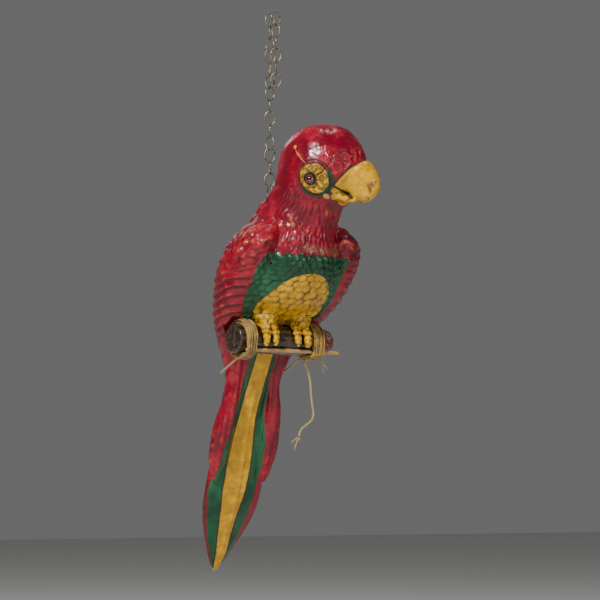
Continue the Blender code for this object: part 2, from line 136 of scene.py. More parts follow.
def cloud(points, size, seed=0):
    """Smooth noise from -1 to 1 whose lumps are about this size."""
    scaled = np.asarray(points) / size
    cell = np.floor(scaled).astype(np.int64)
    part = scaled - cell
    part = part * part * (3.0 - 2.0 * part)
    total = 0.0
    for dx in (0, 1):
        for dy in (0, 1):
            for dz in (0, 1):
                share = np.where(dx, part[:, 0], 1 - part[:, 0])
                share = share * np.where(dy, part[:, 1], 1 - part[:, 1])
                share = share * np.where(dz, part[:, 2], 1 - part[:, 2])
                total = total + share * scatter(cell[:, 0] + dx, cell[:, 1] + dy, cell[:, 2] + dz, seed=seed)
    return 2.0 * total - 1.0


def feathers(across, down, width, spacing, length, seed):
    """Height from 0 to 1 of rows of overlapping rounded feathers, whose tips point down."""
    row = np.floor(down / spacing)
    best = np.zeros_like(across)
    for step in (-1, 0, 1):
        this_row = row + step
        shift = 0.5 * np.mod(this_row, 2)
        column = np.floor(across / width - shift)
        for side in (-1, 0, 1):
            this_column = column + side
            sway = 0.34 * (scatter(this_row, this_column, seed=seed) - 0.5)
            drop = 0.34 * (scatter(this_row, this_column, seed=seed + 1) - 0.5)
            du = (across - (this_column + 0.5 + shift + sway) * width) / (0.58 * width)
            dv = (down - (this_row + 0.5 + drop) * spacing) / (0.5 * length)
            inside = np.clip(1.0 - du * du - dv * dv, 0.0, 1.0)
            best = np.maximum(best, np.sqrt(inside) * (0.62 + 0.38 * dv))
    return best


def from_line(x, y, points):
    """The distance of (x, y) from a polyline."""
    nearest = np.full_like(x, 1e9)
    for (ax, ay), (bx, by) in zip(points, points[1:]):
        wx, wy = bx - ax, by - ay
        t = np.clip(((x - ax) * wx + (y - ay) * wy) / (wx * wx + wy * wy), 0.0, 1.0)
        nearest = np.minimum(nearest, np.hypot(x - ax - t * wx, y - ay - t * wy))
    return nearest


def through(points, step):
    """Points this far apart along a Catmull-Rom curve through the given ones."""
    known = np.array([points[0], *points, points[-1]], float)
    fine = []
    for a, b, c, d in zip(known, known[1:], known[2:], known[3:]):
        for t in np.linspace(0.0, 1.0, 24, endpoint=False):
            fine.append(0.5 * (2 * b + (c - a) * t + (2 * a - 5 * b + 4 * c - d) * t**2
                               + (3 * b - a - 3 * c + d) * t**3))
    return resample(np.array([*fine, known[-1]]), step)


def reaches(line):
    """How far along the line each of its points is."""
    return np.concatenate(([0.0], np.cumsum(np.linalg.norm(np.diff(line, axis=0), axis=1))))


def resample(line, step):
    reach = reaches(line)
    wanted = np.linspace(0.0, reach[-1], max(2, int(round(reach[-1] / step)) + 1))
    return np.stack([np.interp(wanted, reach, line[:, k]) for k in range(3)], axis=1)


# ---------------------------------------------------------------- meshes
def box_of(node):
    """A CAD node's low and high corners, in millimetres."""
    return [np.array(corner) * 1000.0 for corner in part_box(node)]


def points_of(obj):
    """An object's own points, in millimetres."""
    return np.array([v.co for v in obj.data.vertices]) * 1000.0


def add_object(name, data):
    made = bpy.data.objects.new(name, data)
    bpy.context.scene.collection.objects.link(made)
    return made


def add_mesh(name, points, faces, paint):
    """A smooth-shaded mesh object from points in millimetres."""
    mesh = bpy.data.meshes.new(name)
    mesh.from_pydata((np.asarray(points) * 0.001).tolist(), [], faces)
    mesh.update()
    mesh.shade_smooth()
    mesh.materials.append(paint)
    return add_object(name, mesh)


def finish_piece(obj, node, body="parrot"):
    """The piece stands for this CAD node and moves with the body."""
    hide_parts(node)
    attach(obj, body)


def add_value(obj, name, values):
    """A number for each vertex, for the material to read."""
    layer = obj.data.attributes.new(name, "FLOAT", "POINT")
    layer.data.foreach_set("value", np.asarray(values, np.float32))


def frames_along(line, closed=False):
    """Tangents and two crosswise directions, which turn as little as they can."""
    ahead = np.roll(line, -1, axis=0) - np.roll(line, 1, axis=0)
    if not closed:
        ahead[0], ahead[-1] = line[1] - line[0], line[-1] - line[-2]
    ahead /= np.linalg.norm(ahead, axis=1)[:, None]
    start = Vector(ahead[0]).orthogonal().normalized()
    across = [np.array(start)]
    for tangent in ahead[1:]:
        side = across[-1] - tangent * across[-1].dot(tangent)
        across.append(side / np.linalg.norm(side))
    across = np.array(across)
    return ahead, across, np.cross(ahead, across)


def ring_faces(rings, sides, closed=False, capped=False):
    """Quads from ring to ring. Closed joins the last ring to the first, and capped closes both ends."""
    faces = []
    for r in range(rings if closed else rings - 1):
        a, b = r * sides, (r + 1) % rings * sides
        faces += [(a + n, a + (n + 1) % sides, b + (n + 1) % sides, b + n) for n in range(sides)]
    if capped:
        faces += [tuple(range(sides - 1, -1, -1)), tuple(range((rings - 1) * sides, rings * sides))]
    return faces


def sweep(line, radius, sides, lobes=0, depth=0.0, twist=0.0, closed=False):
    """Points, faces and heights of a tube along a line. With lobes it is a cord with twisted plies.

    The heights go from 0 in the grooves between plies to 1 on a ply."""
    line = np.asarray(line, float)
    count = len(line)
    _, across, over = frames_along(line, closed)
    reach = reaches(line)
    radius = np.broadcast_to(np.asarray(radius, float), (count,))
    angles = math.tau * np.arange(sides) / sides
    height = np.ones((count, sides))
    if lobes:
        height = np.abs(np.cos(0.5 * lobes * (angles[None, :] - reach[:, None] * twist)))
    size = radius[:, None] * (1.0 - depth * (1.0 - height))
    points = (
        line[:, None, :]
        + across[:, None, :] * (np.cos(angles)[None, :, None] * size[:, :, None])
        + over[:, None, :] * (np.sin(angles)[None, :, None] * size[:, :, None])
    ).reshape(-1, 3)
    return points, ring_faces(count, sides, closed, capped=not closed), height.reshape(-1)


def join(parts):
    """One list of points, faces and heights from several."""
    points, faces, heights, base = [], [], [], 0
    for part_points, part_faces, part_heights in parts:
        points.append(part_points)
        faces += [tuple(base + i for i in face) for face in part_faces]
        heights.append(part_heights)
        base += len(part_points)
    return np.concatenate(points), faces, np.concatenate(heights)


# ---------------------------------------------------------------- node helpers
class Paint:
    """A material and short ways to add nodes to it."""

    def __init__(self, name, **sockets):
        self.material = bpy.data.materials.new(name)
        self.material.use_nodes = True
        self.nodes = self.material.node_tree.nodes
        self.links = self.material.node_tree.links
        self.shader = self.nodes["Principled BSDF"]
        self.place = self.nodes.new("ShaderNodeTexCoord").outputs["Object"]
        self.set(**sockets)

    def set(self, **sockets):
        """Puts a number, a colour or a node's output into each socket, and gives back the material."""
        for name, value in sockets.items():
            self.plug(value, self.shader.inputs[name.replace("_", " ")])
        return self.material

    def plug(self, value, socket):
        if isinstance(value, bpy.types.NodeSocket):
            self.links.new(value, socket)
        elif hasattr(value, "__len__") and len(value) == 3 and socket.type == "RGBA":
            socket.default_value = (*value, 1.0)
        else:
            socket.default_value = value

    def attribute(self, name):
        node = self.nodes.new("ShaderNodeAttribute")
        node.attribute_name = name
        return node.outputs["Fac"]

    def math(self, kind, a, b=0.0, clamp=False):
        node = self.nodes.new("ShaderNodeMath")
        node.operation = kind
        node.use_clamp = clamp
        self.plug(a, node.inputs[0])
        self.plug(b, node.inputs[1])
        return node.outputs[0]

    def times(self, a, b):
        return self.math("MULTIPLY", a, b)

    def span(self, value, low, high, new_low=0.0, new_high=1.0):
        """value from low to high becomes new_low to new_high, smoothly."""
        node = self.nodes.new("ShaderNodeMapRange")
        node.interpolation_type = "SMOOTHSTEP"
        for socket, number in zip(node.inputs, (value, low, high, new_low, new_high)):
            self.plug(number, socket)
        return node.outputs[0]

    def mix(self, share, a, b):
        node = self.nodes.new("ShaderNodeMix")
        node.data_type = "RGBA"
        self.plug(share, node.inputs["Factor"])
        self.plug(a, node.inputs[6])
        self.plug(b, node.inputs[7])
        return node.outputs[2]

    def noise(self, size_mm, detail=3.0, roughness=0.55, stretch=(1, 1, 1), distortion=0.0):
        node = self.nodes.new("ShaderNodeTexNoise")
        node.inputs["Scale"].default_value = 1000.0 / size_mm
        node.inputs["Detail"].default_value = detail
        node.inputs["Roughness"].default_value = roughness
        node.inputs["Distortion"].default_value = distortion
        self.links.new(self.stretched(stretch), node.inputs["Vector"])
        return node.outputs["Fac"]

    def cell_edges(self, size_mm):
        """The distance from the edges of irregular cells of about this size."""
        node = self.nodes.new("ShaderNodeTexVoronoi")
        node.feature = "DISTANCE_TO_EDGE"
        node.inputs["Scale"].default_value = 1000.0 / size_mm
        self.links.new(self.place, node.inputs["Vector"])
        return node.outputs["Distance"]

    def stretched(self, stretch):
        if stretch == (1, 1, 1):
            return self.place
        node = self.nodes.new("ShaderNodeMapping")
        node.inputs["Scale"].default_value = stretch
        self.links.new(self.place, node.inputs["Vector"])
        return node.outputs["Vector"]

    def bump(self, height, depth_mm, below=None):
        node = self.nodes.new("ShaderNodeBump")
        node.inputs["Distance"].default_value = depth_mm * 0.001
        self.plug(height, node.inputs["Height"])
        if below is not None:
            self.links.new(below, node.inputs["Normal"])
        return node.outputs["Normal"]


# ---------------------------------------------------------------- materials
def plaster_paint():
    """Old hand-brushed enamel under yellowed varnish.

    Each zone is how far inside its colour a point is, in millimetres."""
    p = Paint("painted_plaster", Coat_Weight=0.20, Coat_Roughness=0.07, Specular_IOR_Level=0.32)
    blotch, patch, speck = p.noise(34, 4), p.noise(9, 3), p.noise(1.6, 2)
    wobble = p.times(p.math("SUBTRACT", p.noise(4.5, 2), 0.5), 3.6)
    groove, ridge = p.attribute("groove"), p.attribute("ridge")

    red = p.mix(p.span(blotch, 0.35, 0.68), (0.130, 0.0010, 0.010), (0.320, 0.0030, 0.020))
    red = p.mix(p.times(p.span(patch, 0.5, 0.72), 0.55), red, (0.440, 0.010, 0.022))
    # Lighter orange on the ridge tops, most at the shoulders and behind the neck: worn paint, and painted
    # highlight.
    wear_and_painted_light = p.math("ADD", p.span(patch, 0.46, 0.66), p.attribute("warm"))
    wear_and_painted_light = p.math("MULTIPLY", p.span(ridge, 0.35, 0.95), wear_and_painted_light, clamp=True)
    red = p.mix(p.times(wear_and_painted_light, 0.62), red, (0.560, 0.100, 0.020))
    # Darker in the grooves: painted shade, with some grime.
    red = p.mix(p.times(p.span(groove, 0.35, 0.95), 0.78), red, (0.050, 0.002, 0.002))
    red = p.mix(p.span(p.attribute("shade"), 0.0, 1.0, 0.0, 0.7), red, (0.075, 0.004, 0.005))

    green = p.mix(p.span(blotch, 0.35, 0.7), (0.002, 0.040, 0.013), (0.004, 0.110, 0.036))
    # Lighter green on the ridge tops: painted highlight.
    green = p.mix(p.times(p.span(ridge, 0.6, 1.0), 0.4), green, (0.018, 0.200, 0.065))
    # Darker green in the grooves: painted shade.
    green = p.mix(p.times(p.span(groove, 0.3, 1.0), 0.8), green, (0.002, 0.016, 0.007))

    yellow = p.mix(p.span(patch, 0.36, 0.7), (0.500, 0.245, 0.0), (0.740, 0.400, 0.0))
    stain = p.times(p.span(blotch, 0.52, 0.75), p.span(speck, 0.42, 0.7))
    yellow = p.mix(p.times(stain, 0.6), yellow, (0.330, 0.130, 0.006))
    # Dark brown in the grooves: painted shade, with grime mottle on the eye ring and streaks on the beak.
    yellow = p.mix(p.times(p.span(groove, 0.42, 0.82), 0.90), yellow, (0.100, 0.056, 0.005))

    colour = red
    brown = (0.210, 0.060, 0.036)
    for zone, paint, edge in (("green", green, 0.55), ("yellow", yellow, 0.5), ("brown", brown, 2.4)):
        inside = p.math("ADD", p.attribute(zone), wobble if zone != "brown" else 0.0)
        colour = p.mix(p.span(inside, -edge, edge), colour, paint)
    colour = p.mix(p.span(p.attribute("black"), -0.45, 0.35), colour, (0.012, 0.016, 0.011))
    scratch = p.math("ADD", p.attribute("scratch"), p.times(p.math("SUBTRACT", patch, 0.5), 1.2))
    colour = p.mix(p.span(scratch, -0.35, 0.25, 0.0, 0.85), colour, (0.640, 0.360, 0.075))
    chip = p.times(p.span(p.noise(6.5, 4, 0.7), 0.70, 0.735), p.span(ridge, 0.5, 0.8))
    colour = p.mix(chip, colour, (0.520, 0.430, 0.300))
    crack = p.times(p.span(p.cell_edges(5.2), 0.0, 0.035, 1.0, 0.0), p.span(blotch, 0.45, 0.62))
    colour = p.mix(p.times(crack, 0.45), colour, (0.055, 0.012, 0.006))

    rough = p.span(patch, 0.3, 0.75, 0.16, 0.34)
    rough = p.math("ADD", rough, p.math("MULTIPLY", p.math("ADD", chip, groove), 0.22), clamp=True)
    strokes = p.bump(p.noise(2.4, 3, 0.6, stretch=(1.0, 1.0, 0.35)), 0.22)
    lumps = p.bump(p.noise(7, 2), 0.5, strokes)
    return p.set(Base_Color=colour, Roughness=rough, Normal=p.bump(p.times(crack, -1.0), 0.06, lumps))


def twine_paint(name, straw, dark, varnish):
    """Laid jute. varnish is the colour of the paint that the lashings took with the perch."""
    p = Paint(name, Sheen_Weight=0.25, Sheen_Roughness=0.5)
    fibre = p.noise(0.55, 3, 0.7)
    colour = p.mix(p.span(fibre, 0.3, 0.75), dark, straw)
    colour = p.mix(p.span(p.noise(7, 3), 0.42, 0.62), colour, varnish)
    # Darker in the grooves between the plies: painted shade.
    colour = p.mix(p.span(p.attribute("ply"), 0.15, 0.75, 0.85, 0.0), colour, (0.060, 0.030, 0.008))
    return p.set(Base_Color=colour, Roughness=p.span(p.noise(9, 2), 0.35, 0.65, 0.45, 0.85),
          Normal=p.bump(fibre, 0.18))


def chain_paint():
    """Antique brass plating that has dulled, with brown spots where it has worn to the steel."""
    p = Paint("antique_brass_wire", Metallic=0.92)
    spots = p.span(p.noise(1.8, 4, 0.7), 0.50, 0.68)
    colour = p.mix(p.span(p.noise(7, 2), 0.35, 0.65), (0.190, 0.160, 0.100), (0.300, 0.260, 0.180))
    return p.set(Base_Color=p.mix(spots, colour, (0.070, 0.045, 0.022)),
          Roughness=p.span(p.noise(2.5, 3), 0.3, 0.7, 0.28, 0.55), Normal=p.bump(p.noise(0.5, 3), 0.05))


def log_paint():
    """Dark brown gloss over rough bark, worn olive on the ridges, chipped to plaster white at one end."""
    p = Paint("painted_log", Coat_Weight=0.5, Coat_Roughness=0.12)
    streak = p.noise(3.2, 4, 0.6, stretch=(0.22, 1, 1))
    colour = p.mix(p.span(streak, 0.40, 0.72), (0.014, 0.008, 0.006), (0.075, 0.036, 0.018))
    colour = p.mix(p.times(p.attribute("ridge"), p.span(streak, 0.5, 0.7)), colour, (0.130, 0.095, 0.040))
    colour = p.mix(p.attribute("red_end"), colour, (0.150, 0.014, 0.010))
    chip = p.times(p.attribute("chips"), p.span(p.noise(3.6, 3, 0.6), 0.47, 0.51))
    return p.set(Base_Color=p.mix(chip, colour, (0.560, 0.500, 0.400)),
          Roughness=p.math("ADD", p.span(streak, 0.3, 0.7, 0.16, 0.42), p.times(chip, 0.4)),
          Normal=p.bump(streak, 0.35))


def wood_paint(name, pale, dark, stretch):
    """Bare wood, with its grain along the axis that is stretched least."""
    p = Paint(name)
    grain = p.noise(2.2, 4, 0.65, stretch=stretch, distortion=0.4)
    colour = p.mix(p.span(grain, 0.34, 0.70), dark, pale)
    pore = p.span(p.noise(0.8, 2, 0.6, stretch=stretch), 0.60, 0.72)
    return p.set(Base_Color=p.mix(p.times(pore, 0.6), colour, (0.110, 0.055, 0.018)),
          Roughness=p.span(grain, 0.3, 0.7, 0.45, 0.7), Normal=p.bump(grain, 0.12))


def eye_paint():
    """A dark glass eye: black pupil, then a dark red-brown iris with fine rays."""
    p = Paint("dark_glass_eye", Coat_Weight=1.0, Coat_Roughness=0.02, IOR=1.52)
    out = p.attribute("out")
    rays = p.noise(0.7, 3)
    iris = p.mix(p.span(rays, 0.35, 0.7), (0.060, 0.006, 0.003), (0.160, 0.026, 0.010))
    colour = p.mix(p.span(out, 0.40, 0.50), (0.004, 0.003, 0.003), iris)
    return p.set(Base_Color=p.mix(p.span(out, 0.84, 0.96), colour, (0.010, 0.004, 0.003)),
          Roughness=p.span(rays, 0.3, 0.7, 0.04, 0.12))


def rod_paint():
    """Plain iron with rust."""
    p = Paint("rusty_iron", Metallic=0.6)
    rust = p.noise(2.0, 4, 0.7)
    return p.set(Base_Color=p.mix(p.span(rust, 0.4, 0.65), (0.110, 0.095, 0.085), (0.160, 0.052, 0.018)),
          Roughness=p.span(rust, 0.3, 0.7, 0.5, 0.9), Normal=p.bump(rust, 0.1))


# ---------------------------------------------------------------- the casting
def plug_frame():
    """The middle of the plug's outer face and the way it looks out, from the CAD plug, in millimetres."""
    outward = np.array((0.0, math.cos(PLUG_SLOPE), math.sin(PLUG_SLOPE)))
    points = points_of(NODES["hole_plug"])
    height = points @ outward
    rim = points[height > height.max() - 0.05]
    return (rim.min(axis=0) + rim.max(axis=0)) / 2.0, outward


def outer_skin():
    """The casting's outside as an even mesh of small quads. A cylinder closes its hole under the plug."""
    bm = bmesh.new()
    bm.from_mesh(NODES["parrot_casting"].data)
    bmesh.ops.remove_doubles(bm, verts=bm.verts, dist=1e-6)
    face, outward = plug_frame()
    turn = Vector(outward).to_track_quat("Z", "X").to_matrix().to_4x4()
    depth = 8.0
    middle = Vector((face - outward * (depth / 2 + 2.0)) * 0.001)
    bmesh.ops.create_cone(bm, cap_ends=True, segments=40, radius1=0.0125, radius2=0.0125, depth=depth * 0.001,
                          matrix=Matrix.Translation(middle) @ turn)
    mesh = bpy.data.meshes.new("skin")
    bm.to_mesh(mesh)
    bm.free()
    obj = add_object("skin", mesh)
    step = obj.modifiers.new("even", "REMESH")
    step.mode = "VOXEL"
    step.voxel_size = VOXEL * 0.001
    made = bpy.data.meshes.new_from_object(obj.evaluated_get(bpy.context.evaluated_depsgraph_get()))
    bpy.data.objects.remove(obj)
    return made


def tallest_island(mesh):
    """The points and quads of the mesh's tallest connected piece, in millimetres."""
    count = len(mesh.vertices)
    points = np.zeros(count * 3, np.float32)
    mesh.vertices.foreach_get("co", points)
    points = points.reshape(-1, 3).astype(float) * 1000.0
    edges = np.zeros(len(mesh.edges) * 2, np.int32)
    mesh.edges.foreach_get("vertices", edges)
    edges = edges.reshape(-1, 2)
    label = np.arange(count)
    while True:
        low = np.minimum(label[edges[:, 0]], label[edges[:, 1]])
        new = label.copy()
        np.minimum.at(new, edges[:, 0], low)
        np.minimum.at(new, edges[:, 1], low)
        new = new[new]
        if np.array_equal(new, label):
            break
        label = new
    names, index = np.unique(label, return_inverse=True)
    top, bottom = np.full(len(names), -1e9), np.full(len(names), 1e9)
    np.maximum.at(top, index, points[:, 2])
    np.minimum.at(bottom, index, points[:, 2])
    keep = index == int(np.argmax(top - bottom))
    renumber = np.cumsum(keep) - 1
    quads = np.zeros(len(mesh.polygons) * 4, np.int32)
    mesh.polygons.foreach_get("vertices", quads)
    quads = quads.reshape(-1, 4)
    quads = renumber[quads[keep[quads[:, 0]]]]
    return points[keep], quads


def edges_of(quads):
    pairs = np.concatenate([quads[:, (n, (n + 1) % 4)] for n in range(4)])
    return np.unique(np.sort(pairs, axis=1), axis=0)


def relax(points, edges, share, rounds):
    """Moves each point towards its neighbours' middle by its share, this many times."""
    a, b = edges.T
    count = len(points)
    near = np.bincount(a, minlength=count) + np.bincount(b, minlength=count)
    for _ in range(rounds):
        middle = np.stack(
            [
                np.bincount(a, points[b, k], count) + np.bincount(b, points[a, k], count)
                for k in range(3)
            ],
            axis=1,
        ) / near[:, None]
        points = points + share[:, None] * (middle - points)
    return points


def normals_of(points, quads):
    one, two = points[quads[:, 2]] - points[quads[:, 0]], points[quads[:, 3]] - points[quads[:, 1]]
    facing = np.cross(one, two)
    total = np.zeros_like(points)
    for n in range(4):
        for k in range(3):
            total[:, k] += np.bincount(quads[:, n], facing[:, k], len(points))
    return total / np.maximum(np.linalg.norm(total, axis=1), 1e-9)[:, None]


class Places:
    """Where each point of the skin is, in terms that the sculpting and the paint use. All in millimetres."""

    def __init__(self, points, normals):
        self.points, self.normals = points, normals
        x, y, z = points.T
        away = points - HEAD
        self.side = away @ HEAD_SIDE
        self.ahead = away @ HEAD_AHEAD
        self.up = away[:, 2]
        self.from_head = np.linalg.norm(away * (1.0, 1.0, 1.08), axis=1)

        rows = BODY[::-1]
        level = z.copy()
        for _ in range(3):
            middle = np.interp(level, rows[:, 0], rows[:, 1])
            tilt = np.radians(np.interp(level, rows[:, 0], rows[:, 4]))
            level = z - (y - middle) * np.tan(tilt)
        half_length = np.interp(level, rows[:, 0], rows[:, 2])
        half_width = np.interp(level, rows[:, 0], rows[:, 3])
        self.outside = np.sqrt((x / half_width) ** 2 + ((y - middle) / half_length) ** 2)
        self.round = np.arctan2(x, -(y - middle))  # 0 in front, to the parrot's left
        self.down = -level
        self.front = ramp(1.75, 1.35, np.abs(self.round))

        tail = TAIL[::-1]
        self.tail_half = np.interp(z, tail[:, 0], tail[:, 1])
        self.wing_edge = np.interp(z, tail[:, 0], tail[:, 2])
        self.tail = ramp(-322.0, -334.0, z)
        self.facing = normals[:, 1] < 0.25

        reach = np.hypot(y - LOG_AXIS[0], z - LOG_AXIS[1])
        self.near_log = ramp(30.0, 24.0, reach) * ramp(36.0, 32.0, np.abs(x))
        self.log_reach = reach
        self.log_angle = np.arctan2(z - LOG_AXIS[1], -(y - LOG_AXIS[0]))

    def cloud(self, size, seed):
        return cloud(self.points, size, seed)


def beak_distance(at):
    """How far inside the beak's yellow a point is: the upper half, or the small lower one."""
    upper = np.minimum((at.ahead - at.up - 45.0) / math.sqrt(2.0), at.up + 42.5)
    upper = np.minimum(upper, at.ahead - 17.0)
    lower = np.minimum(at.ahead - 13.5 - 0.3 * (at.up + 40.0), -27.0 - at.up)
    lower = np.minimum(lower, np.minimum(14.0 - np.abs(at.side), at.up + 36.8))
    return np.maximum(upper, lower)


EYE_SPOT = (1.0, -18.2)  # ahead and up of the head's centre
RING = (4.6, -17.6, 14.6)  # the bare ring round the eye: its centre, ahead and up, and its radius
BROW = ((6.5, -16.5), (12.0, -13.5), (19.0, -6.5), (25.5, 2.5), (32.0, 8.5))
SCRATCH = ((-16.0, 14.0), (-13.5, 8.5), (-6.0, -0.5), (-2.5, -4.0))
MOUTH = ((19.5, -25.0), (26.0, -29.5), (33.0, -35.5))


def cut(groove, depth):
    """Deepens the grooves, in place, wherever this is deeper."""
    np.maximum(groove, depth, out=groove)


def sculpt(at):
    """How far each point moves along its normal, and how deep in a groove (0 to 1) it is; the paint darkens
    the grooves by this as painted shade.
    """
    x, y, z = at.points.T
    lump = at.cloud(6.0, seed=3)
    fine = at.cloud(2.6, seed=4)
    height = 0.25 * lump + 0.10 * fine
    groove = np.zeros(len(x))

    feathered = ramp(37.0, 47.0, at.from_head) * ramp(2.0, -3.0, beak_distance(at))
    feathered *= 1.0 - at.tail
    around = at.round * 46.0
    body = ramp(1.10, 1.03, at.outside)

    # Hackles: short in front, long and fine behind.
    behind = ramp(0.9, 1.9, np.abs(at.round))
    neck = feathered * ramp(252.0, 236.0, at.down) * body
    sway = 2.2 * at.cloud(14.0, seed=8)
    rise = 4.0 * at.cloud(11.0, seed=9)
    short = feathers(around + 2.0 * sway, at.down + rise, 7.6, 8.4, 14.0, 11)
    long = feathers(around * 0.9 + sway, at.down, 5.2, 15.0, 25.0, 12)
    hackle = short * (1 - behind) + long * behind
    height += neck * (2.7 * (hackle - 0.5) + 0.6 * lump)
    cut(groove, neck * (1.0 - hackle) * 0.9)

    # Breast and belly scales.
    inner = ramp(-2.5, 1.0, band_distance(at))
    belly = feathered * np.maximum(ramp(236.0, 252.0, at.down) * at.front * body, inner)
    scale = feathers(x * 1.08 + 0.4 * sway, at.down + 0.25 * rise, 9.0, 6.6, 10.4, 21)
    small = feathers(x * 1.05 + sway, at.down + 0.5 * rise, 7.8, 6.2, 9.8, 22)
    yellow = ramp(-3.0, 2.0, belly_distance(at))
    pattern = scale * yellow + small * (1 - yellow)
    height += belly * ((2.3 + 0.7 * (1 - yellow)) * (pattern - 0.45))
    cut(groove, belly * (1.0 - pattern))

    # Wings: knobbly coverts, then long feathers whose edges run up and forward.
    wing = feathered * ramp(1.03, 1.10, at.outside) * ramp(-330.0, -322.0, z) * (1.0 - inner)
    covert_zone = ramp(-272.0, -258.0, z)
    covert = feathers(y + sway, -z - 0.25 * np.abs(x), 8.2, 6.6, 10.5, 31)
    height += wing * covert_zone * (2.8 * (covert - 0.5) + 0.9 * lump)
    slope = (-z - 0.16 * y + 1.8 * at.cloud(17.0, seed=33)) / 7.0
    saw = np.mod(slope, 1.0)
    ridge_line = ramp(0.0, 0.78, saw) * ramp(1.0, 0.86, saw)
    ridged = (1 - covert_zone) * (0.25 + 0.75 * ramp(1.08, 1.24, at.outside))
    height += wing * ridged * (1.9 * (ridge_line - 0.5))
    cut(groove, wing * covert_zone * (1 - covert))
    cut(groove, 0.75 * wing * ridged * (1 - ridge_line))

    # The folded wing tips beside the tail.
    tips = at.tail * ramp(-1.0, 1.5, np.abs(x) - at.wing_edge) * ramp(-466.0, -458.0, z)
    lane = np.mod((np.abs(x) + 0.35 * y + 0.10 * (z + 400.0)) / 7.5, 1.0)
    quill = ramp(0.0, 0.7, lane) * ramp(1.0, 0.88, lane)
    height += tips * (1.3 * (quill - 0.5))
    cut(groove, tips * (1 - quill) * 0.55)

    # The tail: a low rib down the middle and shallow steps between its feathers.
    tail = at.tail * (1 - tips)
    share = np.abs(x) / at.tail_half
    rib = np.exp(-((x / 2.2) ** 2)) * 0.8
    step = 0.9 * ramp(0.52, 0.58, share) - 0.9 * ramp(0.78, 0.86, share)
    height += tail * (rib - step * 0.6)
    cut(groove, tail * np.exp(-(((share - 0.55) / 0.03) ** 2)) * 0.7)

    add_head_detail(at, height, groove)
    add_foot_detail(at, height, groove)
    return height, np.clip(groove, 0.0, 1.0)


def add_head_detail(at, height, groove):
    beak = beak_distance(at)
    outer_half = np.abs(at.side) > 6.0
    # The bare ring: a raised, wrinkled collar that sinks to the eye.
    ex, eu = at.ahead - RING[0], at.up - RING[1]
    out = np.hypot(ex, eu)
    angle = np.arctan2(eu, ex)
    on_side = ramp(14.0, 20.0, np.abs(at.side))
    collar = np.exp(-(((out - 11.5) / 3.6) ** 2)) * on_side
    wrinkle = 0.5 + 0.5 * np.sin(angle * 11.0 + 2.5 * np.sin(out * 0.9)) * np.cos(out * 1.1)
    height += collar * (0.9 + 1.1 * wrinkle) - 0.9 * on_side * np.exp(-((out / 7.0) ** 2))
    edge = np.exp(-(((out - 15.6) / 1.1) ** 2)) * on_side
    height -= 0.9 * edge
    grime = ramp(-0.45, 0.40, 0.6 * at.cloud(2.8, seed=43) + 0.7 * at.cloud(1.5, seed=44))
    cut(groove, on_side * ramp(17.0, 14.5, out) * np.maximum(1 - wrinkle, 0.9 * grime))
    cut(groove, edge * 0.8)
    cut(groove, on_side * ramp(12.0, 13.5, out) * ramp(19.5, 18.0, out) * 0.85)
    # The brow crease, the mouth and the beak's edge are cut in.
    for line, width, depth in ((BROW, 0.8, 1.3), (MOUTH, 0.9, 1.4)):
        crease = np.exp(-((from_line(at.ahead, at.up, line) / width) ** 2)) * (outer_half | (line is MOUTH))
        height -= depth * crease * (at.up > -40.0) * (at.from_head < 62.0)
    seam = np.exp(-((beak / 1.1) ** 2)) * ramp(20.0, 22.0, at.ahead)
    height -= 1.3 * seam
    # Knobs between brow and beak.
    lores = ramp(1.5, 5.0, -beak) * ramp(34.0, 26.0, -beak) * ramp(16.0, 22.0, at.ahead)
    lores *= ramp(-24.0, -18.0, at.up) * ramp(14.0, 6.0, at.up) * ramp(15.0, 17.5, out)
    squiggle = np.clip(1.0 - 3.4 * np.abs(at.cloud(7.0, seed=41)), 0.0, 1.0)
    height += lores * (2.1 * (squiggle - 0.35) + 0.6 * at.cloud(3.0, seed=42))
    cut(groove, lores * (1 - squiggle) * 0.65)
    # The swelling under the corner of the mouth.
    gape = np.exp(-(((at.ahead - 11.5) / 5.0) ** 2) - (((at.up + 34.5) / 4.0) ** 2)) * on_side
    height += 1.9 * gape
    # A little grain on the beak.
    grain = ramp(0.5, 2.0, beak) * (at.from_head < 75.0)
    height += grain * 0.30 * at.cloud(4.0, seed=51)
    # Darker streaks on the beak, more towards its lower part: streaky stain, and painted shade underneath.
    wear_and_painted_light = 0.7 * cloud(at.points * (1.0, 1.0, 0.5), 4.0, seed=52) + 0.5 * at.cloud(1.8, seed=53)
    wear_and_painted_light = ramp(-0.2, 0.6, wear_and_painted_light) * ramp(-14.0, -28.0, at.up)
    cut(groove, grain * 0.80 * wear_and_painted_light)


def add_foot_detail(at, height, groove):
    """Ringed scales across the toes, and scutes up the legs."""
    x, y, z = at.points.T
    toes = at.near_log * ramp(15.5, 16.5, at.log_reach)
    knob = feathers(x + 0.8 * at.cloud(5.0, seed=61), at.log_angle * -20.0, 4.6, 4.2, 6.6, 62)
    leg = ramp(13.5, 11.5, np.abs(np.abs(x) - 20.0)) * ramp(-300.0, -310.0, z) * (y < -8.0)
    toes = np.maximum(toes, leg * ramp(16.5, 18.0, at.log_reach))
    height += toes * (1.7 * (knob - 0.55) + 0.5 * at.cloud(3.6, seed=63))
    cut(groove, toes * (1 - knob) * 0.95)


def only(where, inside):
    """The distance inside a colour, where there is any of it."""
    return np.where(where, inside, -FAR)


def belly_distance(at):
    """How far inside the yellow belly, from the breast down to the feet."""
    x, y, z = at.points.T
    half = 37.5 * np.sqrt(np.clip(1.0 - ((np.maximum(z, -299.0) + 299.0) / 31.5) ** 2, 0.0, 1.0))
    half -= 0.25 * np.maximum(-304.0 - z, 0.0) + 9.0 * ramp(-268.0, -266.0, z)
    inside = np.minimum(half - np.abs(x - 0.5), z + 322.0)
    return only(at.facing & (y < 2.0) & (at.outside < 1.12), inside)


